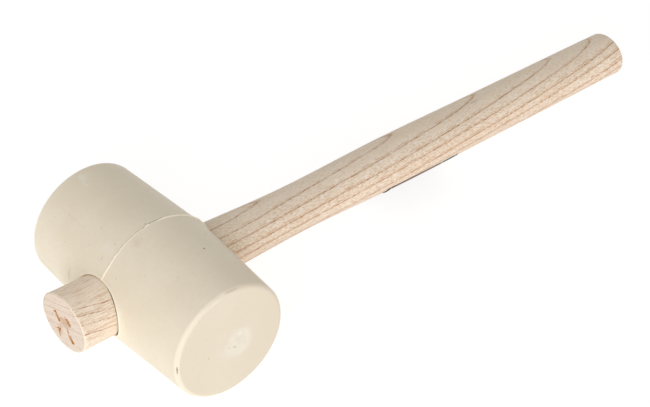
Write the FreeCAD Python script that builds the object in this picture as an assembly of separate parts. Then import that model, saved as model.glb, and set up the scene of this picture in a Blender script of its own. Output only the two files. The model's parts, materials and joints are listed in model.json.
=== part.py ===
import FreeCAD, Part
import math
import os

# A rubber mallet: a solid moulded head, a one-piece wooden handle and a label stuck under the handle.
#
# It is modelled about the centre of its head, with X along the head, Y along the handle towards the grip
# and Z up. It is then laid down as it rests on a bench: on the widest ring of its head and on the end of
# its grip, with the origin under the middle of its bounding box. Lengths are in millimetres.

# Head: two cones that meet at the parting line, with rounded rims and an oval eye for the handle.
HEAD_LENGTH = 110.8
HEAD_MIDDLE_RADIUS = 32.5
HEAD_FACE_RADIUS = 29.5
RIM_ROUNDING = 2.2
EYE_LIP = 0.6

# Flash that the mould leaves round the parting line. It stops short of the handle.
FLASH_HEIGHT = 0.35
FLASH_ROOT_WIDTH = 1.0
FLASH_TOP_WIDTH = 0.4
FLASH_END_GAP = 1.2

# Shallow round mark that the mould's gate leaves in each striking face, a little off the middle.
GATE_MARK_Y = 3.2
GATE_MARK_Z = -2.8
GATE_MARK_RADIUS = 7.8
GATE_MARK_FLOOR_RADIUS = 6.4
GATE_MARK_DEPTH = 0.4

# Handle sections: place along the handle, half width and half height. A smooth curve joins them, and the
# form is lofted through ovals at even steps along it.
HANDLE_SECTIONS = [
    (-50.5, 16.4, 13.65),
    (-20.0, 15.8, 13.2),
    (20.0, 14.5, 12.2),
    (50.0, 13.3, 11.25),
    (82.0, 12.25, 10.45),
    (110.0, 12.8, 10.9),
    (145.0, 13.3, 11.4),
    (200.0, 12.8, 11.05),
    (245.0, 12.5, 10.85),
    (291.0, 12.1, 10.55),
]
HANDLE_STEPS = 34
NOSE_CHAMFER = 0.6
GRIP_ROUNDING = 1.5

# Cuts that the lathe's drive centre leaves in the nose: middle X, middle Z, length and slope in degrees.
DRIVE_CUTS = [
    (-4.9, 1.2, 5.0, -48.0),
    (5.6, -6.0, 4.6, -38.0),
    (3.6, 2.9, 3.8, -33.0),
    (-4.1, -6.5, 3.8, 51.0),
]
DRIVE_CUT_WIDTH = 1.2
DRIVE_CUT_DEPTH = 1.2

# Pit that the lathe's tail centre leaves in the end of the grip.
TAIL_PIT_RADIUS = 1.6
TAIL_PIT_DEPTH = 1.6

# Label: where it starts and ends along the handle, its thickness, and the height of its upper edges.
LABEL_START_Y = 130.0
LABEL_END_Y = 175.5
LABEL_THICKNESS = 0.2
LABEL_EDGE_Z = -4.2

NOSE_Y = HANDLE_SECTIONS[0][0]
NOSE_HALF_WIDTH = HANDLE_SECTIONS[0][1]
GRIP_Y = HANDLE_SECTIONS[-1][0]
GRIP_HALF_HEIGHT = HANDLE_SECTIONS[-1][2]
TOUCHING = 1e-3

X_AXIS = FreeCAD.Vector(1, 0, 0)
Y_AXIS = FreeCAD.Vector(0, 1, 0)
CENTRE = FreeCAD.Vector(0, 0, 0)


def revolve_about_head(outline):
    """Turn an outline of (x, radius) points about the head's axis into a solid."""
    points = [FreeCAD.Vector(x, radius, 0) for x, radius in outline]
    face = Part.Face(Part.makePolygon(points + points[:1]))
    return face.revolve(CENTRE, X_AXIS, 360)


def handle_profile():
    """A smooth curve through the handle's sections: place along the handle, half width, half height."""
    curve = Part.BSplineCurve()
    places = [section[0] for section in HANDLE_SECTIONS]
    curve.interpolate(Points=[FreeCAD.Vector(section) for section in HANDLE_SECTIONS], Parameters=places)
    return curve


def oval_across_handle(y, half_width, half_height):
    """An oval across the handle, with its ends on the handle's left and right."""
    side = FreeCAD.Vector(half_width, y, 0)
    top = FreeCAD.Vector(0, y, half_height)
    oval = Part.Ellipse(side, top, FreeCAD.Vector(0, y, 0))
    return Part.Wire([oval.toShape()])


def handle_form(outset=0.0):
    """The handle's smooth outer form, with every section enlarged by outset."""
    profile = handle_profile()
    ovals = []
    for step in range(HANDLE_STEPS + 1):
        size = profile.value(NOSE_Y + (GRIP_Y - NOSE_Y) * step / HANDLE_STEPS)
        ovals.append(oval_across_handle(size.x, size.y + outset, size.z + outset))
    return Part.makeLoft(ovals, True, False)


def edges_at(shape, along, place):
    """The edges that lie wholly at one place along an axis."""
    found = []
    for edge in shape.Edges:
        points = edge.discretize(5)
        if all(abs(point.dot(along) - place) < TOUCHING for point in points):
            found.append(edge)
    return found


def drive_cut(x, z, length, slope):
    """A wedge-shaped nick in the nose, deepest along its middle."""
    half = DRIVE_CUT_WIDTH / 2
    outline = [
        FreeCAD.Vector(-length / 2, NOSE_Y, -half),
        FreeCAD.Vector(-length / 2, NOSE_Y, half),
        FreeCAD.Vector(-length / 2, NOSE_Y + DRIVE_CUT_DEPTH, 0),
    ]
    wedge = Part.Face(Part.makePolygon(outline + outline[:1])).extrude(FreeCAD.Vector(length, 0, 0))
    wedge.rotate(CENTRE, Y_AXIS, -slope)
    wedge.translate(FreeCAD.Vector(x, 0, z))
    return wedge


def make_handle():
    """The turned handle, from its flared nose to its rounded grip end."""
    handle = handle_form()
    handle = handle.makeChamfer(NOSE_CHAMFER, edges_at(handle, Y_AXIS, NOSE_Y))
    handle = handle.makeFillet(GRIP_ROUNDING, edges_at(handle, Y_AXIS, GRIP_Y))
    for cut in DRIVE_CUTS:
        handle = handle.cut(drive_cut(*cut))
    pit = Part.makeCone(TAIL_PIT_RADIUS, 0, TAIL_PIT_DEPTH, FreeCAD.Vector(0, GRIP_Y, 0), -Y_AXIS)
    return handle.cut(pit)


def make_flash():
    """The thin ring of flash, broken where the handle comes through."""
    root = FLASH_ROOT_WIDTH / 2
    top = FLASH_TOP_WIDTH / 2
    below = HEAD_MIDDLE_RADIUS - 1
    ring = revolve_about_head([
        (-root, below),
        (-root, HEAD_MIDDLE_RADIUS),
        (-top, HEAD_MIDDLE_RADIUS + FLASH_HEIGHT),
        (top, HEAD_MIDDLE_RADIUS + FLASH_HEIGHT),
        (root, HEAD_MIDDLE_RADIUS),
        (root, below),
    ])
    return ring.cut(handle_form(FLASH_END_GAP))


def gate_mark(side):
    """The shallow dish in one striking face. Side is 1 for the face at +X and -1 for the other."""
    place = FreeCAD.Vector(side * HEAD_LENGTH / 2, GATE_MARK_Y, GATE_MARK_Z)
    return Part.makeCone(
        GATE_MARK_RADIUS, GATE_MARK_FLOOR_RADIUS, GATE_MARK_DEPTH, place, X_AXIS * -side
    )


def make_blank_head():
    """The head before its eye is cut: two cones, rounded rims and a gate mark in each face."""
    face_x = HEAD_LENGTH / 2
    head = revolve_about_head([
        (-face_x, 0),
        (-face_x, HEAD_FACE_RADIUS),
        (0, HEAD_MIDDLE_RADIUS),
        (face_x, HEAD_FACE_RADIUS),
        (face_x, 0),
    ])
    rims = edges_at(head, X_AXIS, -face_x) + edges_at(head, X_AXIS, face_x)
    head = head.makeFillet(RIM_ROUNDING, rims)
    return head.cut(gate_mark(1)).cut(gate_mark(-1))


def eye_mouth_edges(head):
    """The edges where the eye opens through the front and the back of the head's side."""
    found = []
    for edge in head.Edges:
        box = edge.BoundBox
        within_width = max(box.XMax, -box.XMin) < NOSE_HALF_WIDTH
        within_height = max(box.ZMax, -box.ZMin) < NOSE_HALF_WIDTH
        if within_width and within_height and box.YLength < HEAD_MIDDLE_RADIUS / 2:
            found.append(edge)
    return found


def make_head():
    """The rubber head, with its eye cut to the handle's own form."""
    head = make_blank_head().cut(handle_form())
    head = head.makeFillet(EYE_LIP, eye_mouth_edges(head))
    return head.fuse(make_flash()).removeSplitter()


def make_label():
    """The sticker that hugs the handle's underside."""
    width = 2 * NOSE_HALF_WIDTH
    corner = FreeCAD.Vector(-width / 2, LABEL_START_Y, LABEL_EDGE_Z - width)
    reach = Part.makeBox(width, LABEL_END_Y - LABEL_START_Y, width, corner)
    return handle_form(LABEL_THICKNESS).common(reach).cut(handle_form())


def rest_angle():
    """How far the handle drops, in degrees, when the head and the end of the grip both touch the bench."""
    head_radius = HEAD_MIDDLE_RADIUS + FLASH_HEIGHT
    reach = GRIP_Y - GRIP_ROUNDING
    drop = GRIP_HALF_HEIGHT - GRIP_ROUNDING
    lever = math.hypot(reach, drop)
    return math.degrees(math.asin((head_radius - GRIP_ROUNDING) / lever) - math.atan2(drop, reach))


def lay_down(pieces):
    """Turn every piece to its rest and put the origin under the middle of the bounding box."""
    for piece in pieces.values():
        piece.rotate(CENTRE, X_AXIS, -rest_angle())
    box = Part.makeCompound(list(pieces.values())).optimalBoundingBox()
    shift = FreeCAD.Vector(-box.Center.x, -box.Center.y, -box.ZMin)
    for piece in pieces.values():
        piece.translate(shift)


def main():
    pieces = {
        "rubber_head": make_head(),
        "wooden_handle": make_handle(),
        "handle_label": make_label(),
    }
    lay_down(pieces)
    os.makedirs("parts", exist_ok=True)
    for name, piece in pieces.items():
        piece.exportStep("parts/" + name + ".step")


main()
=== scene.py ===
import json
import math

import bmesh
import bpy
import numpy as np
from mathutils import Matrix, Vector, noise
from mathutils.bvhtree import BVHTree


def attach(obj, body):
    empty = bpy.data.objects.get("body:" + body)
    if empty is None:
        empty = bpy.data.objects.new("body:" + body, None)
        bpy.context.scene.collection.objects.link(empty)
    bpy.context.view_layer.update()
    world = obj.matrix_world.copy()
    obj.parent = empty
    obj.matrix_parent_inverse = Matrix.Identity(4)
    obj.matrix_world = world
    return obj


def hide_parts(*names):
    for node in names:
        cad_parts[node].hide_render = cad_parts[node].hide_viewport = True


# The looks of a rubber mallet: a moulded cream rubber head, a bare ash handle and the label under it.
#
# Pieces are shaped in the mallet's own frame, in millimetres: its origin is the centre of the head, X runs
# along the head, Y along the handle towards the grip, and Z is up. The last step puts them where the CAD is.

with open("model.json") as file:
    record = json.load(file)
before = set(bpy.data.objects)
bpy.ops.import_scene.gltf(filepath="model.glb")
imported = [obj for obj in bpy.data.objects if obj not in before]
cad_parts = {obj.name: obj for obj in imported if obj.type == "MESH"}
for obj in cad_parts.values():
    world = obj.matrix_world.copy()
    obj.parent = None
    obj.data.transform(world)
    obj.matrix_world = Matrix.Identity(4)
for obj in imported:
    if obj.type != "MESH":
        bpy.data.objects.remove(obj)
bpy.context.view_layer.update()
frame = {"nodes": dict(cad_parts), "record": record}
MM = 0.001

# ---- the mallet's frame, from the CAD's mounts
MOUNTS = {mount["name"]: mount for mount in frame["record"]["mounts"]}
FACE_A, FACE_B, NOSE = (
    np.array(MOUNTS[name]["pos_m"]) for name in ("striking_face_a", "striking_face_b", "handle_nose")
)
HEAD_CENTRE = (FACE_A + FACE_B) / 2
HEAD_AXIS = np.array(MOUNTS["striking_face_a"]["axis"], float)
HANDLE_AXIS = -np.array(MOUNTS["handle_nose"]["axis"], float)
AXES = np.array([HEAD_AXIS, HANDLE_AXIS, np.cross(HEAD_AXIS, HANDLE_AXIS)])
REST_ANGLE = math.asin(-HANDLE_AXIS[2])


def to_mallet(points):
    """Points in the row frame, in metres, taken to the mallet's own frame in millimetres."""
    return (np.asarray(points) - HEAD_CENTRE) @ AXES.T / MM


def to_row(points):
    """The other way: from the mallet's own frame to the row frame."""
    return HEAD_CENTRE + np.asarray(points) @ AXES * MM


def cad_points(node):
    """A CAD node's points, in the mallet's frame."""
    return to_mallet([vertex.co for vertex in frame["nodes"][node].data.vertices])


def cad_surface(node):
    """A CAD node's surface, ready to be measured with rays."""
    polygons = [tuple(polygon.vertices) for polygon in frame["nodes"][node].data.polygons]
    return BVHTree.FromPolygons(cad_points(node).tolist(), polygons)


HEAD_SURFACE = cad_surface("rubber_head")
HANDLE_SURFACE = cad_surface("wooden_handle")


# ---- sizes, from the CAD
HALF_LENGTH = to_mallet(FACE_A)[0]
NOSE_Y = to_mallet(NOSE)[1]
GRIP_Y = cad_points("wooden_handle")[:, 1].max()
LABEL_POINTS = cad_points("handle_label")
LABEL_START_Y = LABEL_POINTS[:, 1].min()
LABEL_END_Y = LABEL_POINTS[:, 1].max()
LABEL_EDGE_Z = LABEL_POINTS[:, 2].max()
FAR = 100.0


def head_radius_at(x):
    """The CAD head's radius at a place along it, measured over its top, clear of the eye."""
    radii = []
    for angle in np.radians(range(60, 121, 3)):
        out = Vector((0, math.cos(angle), math.sin(angle)))
        hit = HEAD_SURFACE.ray_cast(Vector((x, 0, 0)) + out * FAR, -out)[0]
        radii.append(math.hypot(hit.y, hit.z))
    return max(radii)


def handle_reach(y, direction):
    """How far the CAD handle reaches from its axis, the mean of both sides."""
    outs = [Vector(direction) * side for side in (-1, 1)]
    gaps = [HANDLE_SURFACE.ray_cast(Vector((0, y, 0)) + out * FAR, -out)[3] for out in outs]
    return FAR - sum(gaps) / 2


# The head: two cones that meet at the parting line, with rounded rims.
INNER_X, OUTER_X = 6.0, 48.0
INNER_RADIUS, OUTER_RADIUS = head_radius_at(INNER_X), head_radius_at(OUTER_X)
TAPER = (INNER_RADIUS - OUTER_RADIUS) / (OUTER_X - INNER_X)
MIDDLE_RADIUS = INNER_RADIUS + TAPER * INNER_X
RIM_ROUNDING = 2.2
RIM_X = HALF_LENGTH - RIM_ROUNDING
RIM_RADIUS = MIDDLE_RADIUS - TAPER * RIM_X - RIM_ROUNDING * math.hypot(1, TAPER)
TAPER_ANGLE = math.atan(TAPER)

# The handle: smooth curves of its half width and half height, clear of its chamfer and its rounded end.
NOSE_CHAMFER = 0.45
NOSE_CLEAR = 0.7
GRIP_ROUNDING = 1.5
HANDLE_PLACES = np.linspace(NOSE_Y + NOSE_CLEAR, GRIP_Y - GRIP_ROUNDING - 0.1, 90)
CURVE_DEGREE = 12


def handle_curve(direction):
    """How far the handle reaches in one direction, as a smooth curve along it."""
    reaches = [handle_reach(y, direction) for y in HANDLE_PLACES]
    return np.polynomial.Chebyshev.fit(HANDLE_PLACES, reaches, CURVE_DEGREE)


HALF_WIDTH = handle_curve((1, 0, 0))
HALF_HEIGHT = handle_curve((0, 0, 1))


def smooth(value):
    """0 up to 0, 1 from 1 on, and a smooth rise between."""
    value = np.clip(value, 0, 1)
    return value * value * (3 - 2 * value)


def waviness(points, size):
    """Smooth noise from about -1 to 1 at each point, with features of the given size in millimetres."""
    return np.array([noise.noise(Vector(point)) for point in np.asarray(points) / size])


# ---- mesh helpers
class Shell:
    """The points and faces of one closed piece, gathered loop by loop."""

    def __init__(self):
        self.points = []
        self.faces = []

    def add(self, points):
        """Adds points and returns their numbers."""
        start = sum(len(group) for group in self.points)
        self.points.append(np.asarray(points, float))
        return np.arange(start, start + len(points))

    def band(self, first, second):
        """Joins two closed loops of the same length with a ring of faces."""
        quads = np.stack([first, np.roll(first, -1), np.roll(second, -1), second], axis=1)
        self.faces.extend(quads.tolist())

    def bands(self, loops):
        """Joins each loop to the next."""
        for first, second in zip(loops, loops[1:]):
            self.band(first, second)

    def close(self, loop, middle):
        """Closes a loop onto one middle point."""
        centre = self.add([middle])[0]
        triangles = [(a, b, centre) for a, b in zip(loop.tolist(), np.roll(loop, -1).tolist())]
        self.faces.extend(triangles)

    def make(self, name, node, material):
        """Makes the piece where the CAD node is, and hides that node."""
        mesh = bpy.data.meshes.new(name)
        mesh.from_pydata(to_row(np.concatenate(self.points)).tolist(), [], self.faces)
        turned = bmesh.new()
        turned.from_mesh(mesh)
        bmesh.ops.recalc_face_normals(turned, faces=turned.faces)
        turned.to_mesh(mesh)
        turned.free()
        mesh.shade_smooth()
        mesh.materials.append(material)
        piece = bpy.data.objects.new(name, mesh)
        bpy.context.scene.collection.objects.link(piece)
        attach(piece, "root")
        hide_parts(node)
        return piece


def relief(surface, origins, direction, spread):
    """Where rays from the origins meet a CAD surface, as a distance, each averaged over a few near rays."""
    direction = Vector(direction)
    across = direction.orthogonal().normalized() * spread
    turned = direction.cross(across)
    depths = []
    for origin in origins:
        near = [Vector(origin) + shift for shift in (across * 0, across, -across, turned, -turned)]
        hits = [surface.ray_cast(start, direction)[3] for start in near]
        hits = [hit for hit in hits if hit is not None]
        depths.append(sum(hits) / len(hits))
    return np.array(depths)


# ---- rubber head
HEAD_ROWS = 300
SIDE_STEP = 1.0
SEAM_STEP = 0.125
SEAM_HALF_WIDTH = 1.5
SEAM_GROWTH = 1.25
WINDOW_X = 21.5
WINDOW_ROWS = 32
WINDOW_LOOPS = 15
RIM_LOOPS = 12
FACE_LOOPS = 40

# The eye's soft lip, and the uneven gap that it leaves round the handle.
LIP_ROUNDING = 0.55
LIP_LOOPS = 6
LIP_LEAST = 0.15
LIP_MOST = {-1: 1.3, 1: 0.4}
LIP_MOST_ANGLE = math.radians(5)
LIP_REACH = 1.4
GAP_LEAST = 0.12
GAP_MOST = 0.40
GAP_ANGLE = math.radians(2)
EYE_LOOPS = 12

# The flash round the parting line, by angle from the grip's side over the top: its height, offset and half
# width, and how dark the painted shade in the groove beside it is.
FLASH = [
    (15, 0.60, -0.8, 0.46, 0.5),
    (22, 0.88, -0.8, 0.52, 0.5),
    (40, 0.80, -0.8, 0.54, 0.6),
    (50, 0.56, -0.8, 0.52, 0.6),
    (62, 0.50, -0.5, 0.48, 0.6),
    (78, 0.48, -0.4, 0.46, 0.6),
    (84, 0.34, -0.35, 0.36, 0.6),
    (90, 0.10, -0.3, 0.30, 0.5),
    (94, 0.14, -0.4, 0.30, 0.5),
    (97, 0.50, -0.6, 0.50, 0.5),
    (100, 0.10, -0.1, 0.28, 0.25),
    (120, 0.12, -0.2, 0.28, 0.25),
    (126, 0.22, 0.1, 0.32, 0.3),
    (135, 0.28, 0.35, 0.34, 0.3),
    (146, 0.36, 0.2, 0.38, 0.2),
    (157, 0.42, -0.3, 0.44, 0.2),
    (202, 0.33, -0.1, 0.42, 0.3),
    (240, 0.16, 0.2, 0.40, 0.4),
    (285, 0.24, -0.2, 0.42, 0.4),
    (320, 0.32, 0.1, 0.46, 0.5),
    (345, 0.32, 0, 0.46, 0.5),
]
FLASH_MOST = 0.90
# The flash height at which the painted highlight on its ridge is full.
FLASH_PALE = 0.34
FLASH_JAG = 0.18
FLASH_FADE = 0.6
JAG_WAVES = ((1.0, 1.0), (2.37, 1.5), (4.71, 2.2), (7.9, 3.5))
JAG_MOST = 1.8
PARTING_STEP = 0.05
PARTING_GROOVE = 0.18
GROOVE_OFFSET = 0.15
GROOVE_SHARE = 0.7
GROOVE_WIDTH = 0.2
WAVE_HEIGHT = 0.05
WAVE_SIZE = 17.0

# A gash in the rim of the striking face at +X, by angle round the head and angle over the rim.
NICK_ANGLE = 181.8
NICK_SLANT = math.radians(48)
NICK_HALF_LENGTH = 2.5
NICK_HALF_WIDTH = 0.45
NICK_DEPTH = 0.35

# The torn nub in the gate mark: places across the face, half length, half width, depth and turn in degrees.
FACE_NICKS = [
    (2.7, -4.4, 1.6, 0.6, 0.12, -38),
    (-0.2, -3.5, 1.2, 0.4, 0.08, -50),
]
GATE_SOFTNESS = 0.5
GATE_RAY_SPREAD = 0.6


def side_columns():
    """Places along the head's side: close together at the parting line and even further out."""
    places = list(np.arange(0, SEAM_HALF_WIDTH, SEAM_STEP))
    step = SEAM_STEP
    while step < SIDE_STEP:
        places.append(places[-1] + step)
        step *= SEAM_GROWTH
    tangent_x = RIM_X + RIM_ROUNDING * math.sin(TAPER_ANGLE)
    count = math.ceil((tangent_x - places[-1]) / SIDE_STEP) + 1
    places = places + list(np.linspace(places[-1], tangent_x, count)[1:])
    return np.array([-place for place in places[:0:-1]] + places)


def jag(angle, beat, phase):
    """An irregular wave round the head, from about -1 to 1. Angles are in degrees."""
    return sum(np.sin((angle * beat + phase) * pace) / share for pace, share in JAG_WAVES) / JAG_MOST


def flash_at(angle):
    """The flash's height, offset, half width and dark groove, with its waves, at angles in degrees."""
    table = np.array(FLASH).T
    height, offset, half_width, dark = (np.interp(angle, table[0], row, period=360) for row in table[1:])
    offset = offset + FLASH_JAG * jag(angle, 0.45, 1.0)
    half_width = half_width * (1 + 0.2 * jag(angle, 0.8, 2.0))
    height = np.minimum(height * (0.95 + 0.2 * jag(angle, 0.6, 3.0)), FLASH_MOST)
    return height, offset, half_width, dark


def flash_height(x, angle):
    """How far the parting line's flash, groove and step stand above the cones."""
    height, offset, half_width, _ = flash_at(angle)
    width = np.where(x > offset, 1.5, 0.7) * half_width
    ridge = np.clip(1 - ((x - offset) / width) ** 2, 0, 1) ** 1.3
    from_groove = x - offset + GROOVE_SHARE * half_width + GROOVE_OFFSET
    groove = np.exp(-((from_groove / GROOVE_WIDTH) ** 2))
    step = np.tanh((x - offset) / 0.3) * np.exp(-((x / 6.0) ** 2))
    return height * ridge - PARTING_GROOVE * groove - PARTING_STEP * step


def side_points(x, angle, flash_share=1.0, raised=0.0):
    """Points of the head's side, from places along it and angles in degrees."""
    turn = np.radians(angle)
    radius = MIDDLE_RADIUS - TAPER * np.abs(x)
    base = np.stack([x, radius * np.cos(turn), radius * np.sin(turn)], axis=-1)
    lift = flash_height(x, angle) * flash_share + raised
    lift = lift + WAVE_HEIGHT * waviness(base, WAVE_SIZE)
    outward = np.stack([np.zeros_like(turn), np.cos(turn), np.sin(turn)], axis=-1)
    return base + outward * lift[:, None]


def eye_oval(turn, y, outset):
    """Points of the eye at places along the handle, each outset from the handle's own oval."""
    across, up = (HALF_WIDTH(y) + outset) * np.cos(turn), (HALF_HEIGHT(y) + outset) * np.sin(turn)
    return np.stack([across, y, up], -1)


def mouth_points(turn, side, outset):
    """Where the outset eye meets the head's side: at the nose's side for -1 and the grip's for 1."""
    y = np.full_like(turn, side * MIDDLE_RADIUS)
    for _ in range(8):
        points = eye_oval(turn, y, outset)
        radius = MIDDLE_RADIUS - TAPER * np.abs(points[:, 0])
        y = side * np.sqrt(radius**2 - points[:, 2] ** 2)
    return eye_oval(turn, y, outset)


def eye_gap(turn):
    """The gap between the eye and the handle, widest at the upper right seen from the nose."""
    return GAP_LEAST + (GAP_MOST - GAP_LEAST) * ((1 + np.cos(turn - GAP_ANGLE)) / 2) ** 2


def window_loop(columns):
    """The edge of the window round a mouth: column numbers, row offsets and angles round the oval."""
    left = int(np.argmin(np.abs(columns + WINDOW_X)))
    right = len(columns) - 1 - left
    reach = WINDOW_ROWS
    edge = [(i, -reach) for i in range(left, right)]
    edge += [(right, j) for j in range(-reach, reach)]
    edge += [(i, reach) for i in range(right, left, -1)]
    edge += [(left, j) for j in range(reach, -reach, -1)]
    width = HALF_WIDTH(-MIDDLE_RADIUS)
    corner = width * math.cos(math.pi / 4) / columns[right]
    turns = []
    for i, j in edge:
        if abs(j) == reach:
            share = abs(columns[i]) / columns[right]
            x = columns[i] * (1 - (1 - corner) * smooth(share))
            turns.append(math.copysign(math.acos(x / width), j))
        else:
            slant = math.asin(j / reach * math.sin(math.pi / 4))
            turns.append(slant if i == right else math.pi - slant)
    return left, right, edge, np.array(turns)


def add_mouth(shell, side, columns, numbers, edge, turn):
    """Fills the window round one mouth, rounds the eye's lip and returns the loop where the eye begins."""
    middle_row = 0 if side > 0 else HEAD_ROWS // 2
    rows = [(middle_row + side * j) % HEAD_ROWS for _, j in edge]
    outer = np.array([numbers[i, row] for (i, _), row in zip(edge, rows)])
    outer_x = np.array([columns[i] for i, _ in edge])
    middle_angle = 0.0 if side > 0 else 180.0
    outer_angle = np.array([middle_angle + side * j * 360.0 / HEAD_ROWS for _, j in edge])
    gap = eye_gap(turn)
    mouth = mouth_points(turn, side, gap + LIP_ROUNDING)
    mouth_angle = np.degrees(np.arctan2(mouth[:, 2], mouth[:, 1] * side))
    mouth_angle = middle_angle + side * mouth_angle
    bead = LIP_LEAST + (LIP_MOST[side] - LIP_LEAST) * ((1 + np.cos(turn - LIP_MOST_ANGLE)) / 2) ** 2
    loops = [outer]
    surface = None
    for k in range(WINDOW_LOOPS - 1, -1, -1):
        share = (k / WINDOW_LOOPS) ** 1.7
        x = mouth[:, 0] + (outer_x - mouth[:, 0]) * share
        angle = mouth_angle + (outer_angle - mouth_angle) * share
        away = np.hypot(x - mouth[:, 0], np.radians(angle - mouth_angle) * MIDDLE_RADIUS)
        raised = bead * np.exp(-((away / LIP_REACH) ** 2))
        surface = side_points(x, angle, smooth(away / FLASH_FADE), raised)
        loops.append(shell.add(surface))
    corner = mouth_points(turn, side, gap)
    outward = corner * (0, 1, 1)
    outward /= np.linalg.norm(outward, axis=1)[:, None]
    corner += outward * bead[:, None]
    inner = eye_oval(turn, corner[:, 1] - side * (LIP_ROUNDING + bead), gap)
    for k in range(1, LIP_LOOPS + 1):
        u = k / LIP_LOOPS
        loops.append(shell.add((1 - u) ** 2 * surface + 2 * u * (1 - u) * corner + u**2 * inner))
    shell.bands(loops)
    return loops[-1], inner


def add_rim_and_face(shell, side, loop):
    """Rounds the rim from the side's last loop and closes it with a striking face."""
    angle = np.arange(HEAD_ROWS) * 360.0 / HEAD_ROWS
    turn = np.radians(angle)
    loops = [loop]
    for k in range(1, RIM_LOOPS + 1):
        slant = TAPER_ANGLE + (math.pi / 2 - TAPER_ANGLE) * k / RIM_LOOPS
        along = np.radians(angle - NICK_ANGLE) * RIM_RADIUS / NICK_HALF_LENGTH
        over = (slant - NICK_SLANT + 0.12 * np.sin(along * 2)) * RIM_ROUNDING / NICK_HALF_WIDTH
        nick = NICK_DEPTH * np.clip(1 - along**2, 0, 1) * np.clip(1 - np.abs(over), 0, 1)
        if side < 0:
            nick = nick * 0
        rounding = RIM_ROUNDING - nick
        radius = RIM_RADIUS + rounding * math.cos(slant)
        x = side * (RIM_X + rounding * math.sin(slant))
        ring = np.stack([x, radius * np.cos(turn), radius * np.sin(turn)], -1)
        wave = WAVE_HEIGHT * waviness(ring, WAVE_SIZE)[:, None]
        along = np.full_like(turn, side * math.sin(slant))
        outward = np.stack([along, math.cos(slant) * np.cos(turn), math.cos(slant) * np.sin(turn)], -1)
        loops.append(shell.add(ring + outward * wave))
    for k in range(1, FACE_LOOPS):
        radius = RIM_RADIUS * (1 - k / FACE_LOOPS)
        flat = np.stack([0 * turn, radius * np.cos(turn), radius * np.sin(turn)], -1)
        loops.append(shell.add(face_points(side, flat)))
    shell.bands(loops)
    shell.close(loops[-1], face_points(side, np.zeros((1, 3)))[0])


def face_points(side, flat):
    """Points of a striking face, with the gate mark's dish read from the CAD and its torn nub pressed in."""
    origins = flat + (side * FAR, 0, 0)
    x = FAR - relief(HEAD_SURFACE, origins, (-side, 0, 0), GATE_RAY_SPREAD)
    x = HALF_LENGTH - (HALF_LENGTH - x) * GATE_SOFTNESS
    if side > 0:
        for y, z, half_length, half_width, depth, turn in FACE_NICKS:
            slant = math.radians(turn)
            along = ((flat[:, 1] - y) * math.cos(slant) + (flat[:, 2] - z) * math.sin(slant)) / half_length
            across = ((flat[:, 2] - z) * math.cos(slant) - (flat[:, 1] - y) * math.sin(slant)) / half_width
            x = x - depth * np.clip(1 - along**2 - across**2, 0, 1)
    points = np.stack([side * x, flat[:, 1], flat[:, 2]], -1)
    points[:, 0] += side * WAVE_HEIGHT * waviness(points, WAVE_SIZE)
    return points


def make_head(material):
    """The rubber head, one closed skin with the eye through it."""
    shell = Shell()
    columns = side_columns()
    left, right, edge, turn = window_loop(columns)
    angle = np.arange(HEAD_ROWS) * 360.0 / HEAD_ROWS
    numbers = np.full((len(columns), HEAD_ROWS), -1)
    offsets = (np.arange(HEAD_ROWS) + HEAD_ROWS // 4) % (HEAD_ROWS // 2) - HEAD_ROWS // 4
    for i, x in enumerate(columns):
        inside = (left < i < right) & (np.abs(offsets) < WINDOW_ROWS)
        kept = np.flatnonzero(~inside)
        numbers[i, kept] = shell.add(side_points(np.full(len(kept), x), angle[kept]))
    for i in range(len(columns) - 1):
        both = np.maximum(np.abs(offsets), np.abs(np.roll(offsets, -1)))
        in_window = (left <= i < right) & (both <= WINDOW_ROWS)
        for row in np.flatnonzero(~in_window):
            up = (row + 1) % HEAD_ROWS
            corners = (numbers[i, row], numbers[i, up], numbers[i + 1, up], numbers[i + 1, row])
            shell.faces.append([int(corner) for corner in corners])
    front, front_points = add_mouth(shell, -1, columns, numbers, edge, turn)
    back, back_points = add_mouth(shell, 1, columns, numbers, edge, turn)
    loops = [front]
    for k in range(1, EYE_LOOPS):
        y = front_points[:, 1] + (back_points[:, 1] - front_points[:, 1]) * k / EYE_LOOPS
        loops.append(shell.add(eye_oval(turn, y, eye_gap(turn))))
    shell.bands(loops + [back])
    add_rim_and_face(shell, 1, numbers[-1])
    add_rim_and_face(shell, -1, numbers[0])
    return shell.make("rubber_head_skin", "rubber_head", material)


# ---- wooden handle
HANDLE_SIDES = 200
HANDLE_STEP = 1.15
END_LOOPS = 44
HAND_WORK = 0.07
HAND_WORK_SIZE = (16.0, 42.0, 16.0)
EYE_CLEAR = 33.0
END_RAY_SPREAD = 0.12
CHAMFER_SHARES = (0.08, 0.3, 0.7, 0.92)
GRIP_LOOPS = 7


def handle_loop(turn, y, inset, end_y=None):
    """One oval loop of the handle, inset from its full form, with the slight waves of hand sanding."""
    loop = eye_oval(turn, np.full_like(turn, y), -inset)
    wave = waviness(loop, np.array(HAND_WORK_SIZE)) * smooth((abs(y) - EYE_CLEAR) / 12)
    outward = np.stack([np.cos(turn), 0 * turn, np.sin(turn)], -1)
    loop = loop + outward * (wave * HAND_WORK)[:, None]
    if end_y is not None:
        loop[:, 1] = end_y
    return loop


def end_face(turn, side, rim):
    """Loops of an end face inside its rim, with its cuts or its pit read from the CAD."""
    loops = []
    for k in range(1, END_LOOPS):
        flat = rim * (1 - k / END_LOOPS)
        flat[:, 1] = side * (FAR + GRIP_Y)
        depth = relief(HANDLE_SURFACE, flat, (0, -side, 0), END_RAY_SPREAD)
        flat[:, 1] -= side * depth
        loops.append(flat)
    return loops


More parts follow.
